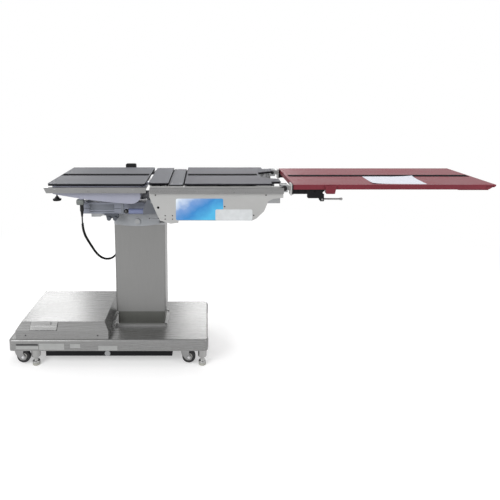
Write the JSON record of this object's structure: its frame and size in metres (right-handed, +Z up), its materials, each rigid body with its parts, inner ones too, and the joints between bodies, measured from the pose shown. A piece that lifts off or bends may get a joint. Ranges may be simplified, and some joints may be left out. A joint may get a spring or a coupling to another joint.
{
  "type": "operating table",
  "caption": "Height-adjustable operating table on a wheeled base with a tilting, sliding top, hinged back section, raising bridge plate and a long detachable leg board",
  "frame": {"origin": "floor level, halfway along the table and halfway across its side rails", "axes": "+X towards the leg board, +Y away from the side with the plug, +Z up"},
  "size_m": [2.522, 0.5713, 1.028],
  "materials": {
    "stainless": "brushed stainless sheet",
    "black_paint": "black powder coat",
    "sleeve_grey": "dark grey paint",
    "light_paint": "light grey paint",
    "blue_grey_paint": "blue-grey paint",
    "dark_fittings": "dark enamel",
    "frame_aluminium": "milled",
    "panel_grey": "fine-grained laminate",
    "panel_core": "matt black edge",
    "strip_black": "looped pile",
    "rail_steel": "brushed",
    "bright_steel": "ground",
    "cylinder_steel": "grey paint",
    "cast_weight": "as cast",
    "board_red": "burgundy laminate",
    "black_plastic": "fine texture",
    "cord_black": "smooth jacket",
    "pad_plastic": "plain",
    "fork_steel": "plated",
    "tyre_rubber": "dark tyre on a pale hub",
    "foot_steel": "steel sleeve on a rubber pad"
  },
  "bodies": {
    "base": {"base_cover": "stainless", "base_chassis": "black_paint", "cross_shaft": "black_paint", "motor_hood": "stainless", "hood_flap": "stainless", "pump_unit": "cylinder_steel", "ballast": "cast_weight", "column_flange": "stainless", "flange_bolts": "stainless", "lower_sleeve": "sleeve_grey", "lift_barrel": "cylinder_steel"},
    "column": {"lift_ram": "bright_steel", "upper_sleeve": "stainless", "guide_pads": "pad_plastic", "column_head": "frame_aluminium"},
    "cradle": {"cradle": "light_paint", "tilt_pin": "bright_steel", "roll_pin": "bright_steel"},
    "slide_base": {"slide_base": "blue_grey_paint", "guide_rails": "bright_steel", "slide_fittings": "dark_fittings"},
    "seat": {"seat_frame": "frame_aluminium", "seat_covers": "light_paint", "seat_rails": "rail_steel", "seat_cores": "panel_core", "seat_panel": "panel_grey", "lumbar_panel": "panel_grey", "seat_strip": "strip_black", "hinge_pins": "bright_steel", "back_cylinders": "dark_fittings"},
    "bridge": {"bridge_lift": "panel_core", "bridge_panel": "panel_grey"},
    "back": {"back_shell": "blue_grey_paint", "back_core": "panel_core", "back_panel": "panel_grey", "back_strip": "strip_black", "back_rails": "rail_steel", "hand_control": "black_plastic", "plug": "black_plastic", "cord": "cord_black"},
    "head_knob_1": {"head_knob_1": "black_plastic"},
    "head_knob_2": {"head_knob_2": "black_plastic"},
    "leg_arms": {"leg_arms": "light_paint"},
    "leg_board": {"leg_board": "board_red", "board_strip": "strip_black", "board_brackets": "black_paint"},
    "lock_lever_1": {"lock_lever_1": "bright_steel"},
    "lock_lever_2": {"lock_lever_2": "bright_steel"},
    "caster_1": {"caster_fork_1": "fork_steel"},
    "caster_wheel_1": {"caster_wheel_1": "tyre_rubber"},
    "caster_2": {"caster_fork_2": "fork_steel"},
    "caster_wheel_2": {"caster_wheel_2": "tyre_rubber"},
    "caster_3": {"caster_fork_3": "fork_steel"},
    "caster_wheel_3": {"caster_wheel_3": "tyre_rubber"},
    "caster_4": {"caster_fork_4": "fork_steel"},
    "caster_wheel_4": {"caster_wheel_4": "tyre_rubber"},
    "foot_1": {"brake_foot_1": "foot_steel"},
    "foot_2": {"brake_foot_2": "foot_steel"},
    "foot_3": {"brake_foot_3": "foot_steel"},
    "foot_4": {"brake_foot_4": "foot_steel"}
  },
  "joints": [
    {"name": "caster_1_swivel", "type": "hinge", "parent": "base", "child": "caster_1", "pos_m": [-1.219, -0.2, 0.06], "axis": [0, 0, 1], "continuous": true},
    {"name": "caster_1_spin", "type": "hinge", "parent": "caster_1", "child": "caster_wheel_1", "pos_m": [-1.194, -0.2, 0.047], "axis": [0, 1, 0], "continuous": true},
    {"name": "caster_2_swivel", "type": "hinge", "parent": "base", "child": "caster_2", "pos_m": [-1.219, 0.2, 0.06], "axis": [0, 0, 1], "continuous": true},
    {"name": "caster_2_spin", "type": "hinge", "parent": "caster_2", "child": "caster_wheel_2", "pos_m": [-1.194, 0.2, 0.047], "axis": [0, 1, 0], "continuous": true},
    {"name": "caster_3_swivel", "type": "hinge", "parent": "base", "child": "caster_3", "pos_m": [-0.324, -0.2, 0.06], "axis": [0, 0, 1], "continuous": true},
    {"name": "caster_3_spin", "type": "hinge", "parent": "caster_3", "child": "caster_wheel_3", "pos_m": [-0.299, -0.2, 0.047], "axis": [0, 1, 0], "continuous": true},
    {"name": "caster_4_swivel", "type": "hinge", "parent": "base", "child": "caster_4", "pos_m": [-0.324, 0.2, 0.06], "axis": [0, 0, 1], "continuous": true},
    {"name": "caster_4_spin", "type": "hinge", "parent": "caster_4", "child": "caster_wheel_4", "pos_m": [-0.299, 0.2, 0.047], "axis": [0, 1, 0], "continuous": true},
    {"name": "foot_1_retract", "type": "slide", "parent": "base", "child": "foot_1", "axis": [0, 0, 1], "range_m": [0, 0.022]},
    {"name": "foot_2_retract", "type": "slide", "parent": "base", "child": "foot_2", "axis": [0, 0, 1], "range_m": [0, 0.022]},
    {"name": "foot_3_retract", "type": "slide", "parent": "base", "child": "foot_3", "axis": [0, 0, 1], "range_m": [0, 0.022]},
    {"name": "foot_4_retract", "type": "slide", "parent": "base", "child": "foot_4", "axis": [0, 0, 1], "range_m": [0, 0.022]},
    {"name": "column_lift", "type": "slide", "parent": "base", "child": "column", "axis": [0, 0, 1], "range_m": [-0.058, 0.24]},
    {"name": "lengthwise_tilt", "type": "hinge", "parent": "column", "child": "cradle", "pos_m": [-0.579, 0, 0.769], "axis": [0, 1, 0], "range_deg": [-20, 20]},
    {"name": "side_tilt", "type": "hinge", "parent": "cradle", "child": "slide_base", "pos_m": [-0.579, 0, 0.848], "axis": [-1, 0, 0], "range_deg": [-18, 18]},
    {"name": "top_slide", "type": "slide", "parent": "slide_base", "child": "seat", "axis": [1, 0, 0], "range_m": [-0.25, 0]},
    {"name": "back_raise", "type": "hinge", "parent": "seat", "child": "back", "pos_m": [-0.507, 0, 1], "axis": [0, 1, 0], "range_deg": [0, 80]},
    {"name": "bridge_raise", "type": "slide", "parent": "seat", "child": "bridge", "axis": [0, 0, 1], "range_m": [0, 0.09]},
    {"name": "head_knob_1_turn", "type": "hinge", "parent": "back", "child": "head_knob_1", "pos_m": [-0.994, -0.15, 0.93], "axis": [0, 0, 1], "continuous": true},
    {"name": "head_knob_2_turn", "type": "hinge", "parent": "back", "child": "head_knob_2", "pos_m": [-0.994, 0.15, 0.93], "axis": [0, 0, 1], "continuous": true},
    {"name": "leg_drive", "type": "hinge", "parent": "seat", "child": "leg_arms", "pos_m": [0.192, 0, 0.984], "axis": [0, -1, 0], "range_deg": [-40, 10]},
    {"name": "board_release", "type": "slide", "parent": "leg_arms", "child": "leg_board", "axis": [1, 0, 0], "range_m": [0, 0.06]},
    {"name": "lock_lever_1_turn", "type": "hinge", "parent": "leg_board", "child": "lock_lever_1", "pos_m": [0.386, -0.23, 0.924], "axis": [0, 1, 0], "range_deg": [0, 70]},
    {"name": "lock_lever_2_turn", "type": "hinge", "parent": "leg_board", "child": "lock_lever_2", "pos_m": [0.386, 0.23, 0.924], "axis": [0, 1, 0], "range_deg": [0, 70]}
  ],
  "couplings": [
    {"joint": "foot_2_retract", "follows": "foot_1_retract", "ratio": 1},
    {"joint": "foot_3_retract", "follows": "foot_1_retract", "ratio": 1},
    {"joint": "foot_4_retract", "follows": "foot_1_retract", "ratio": 1}
  ]
}
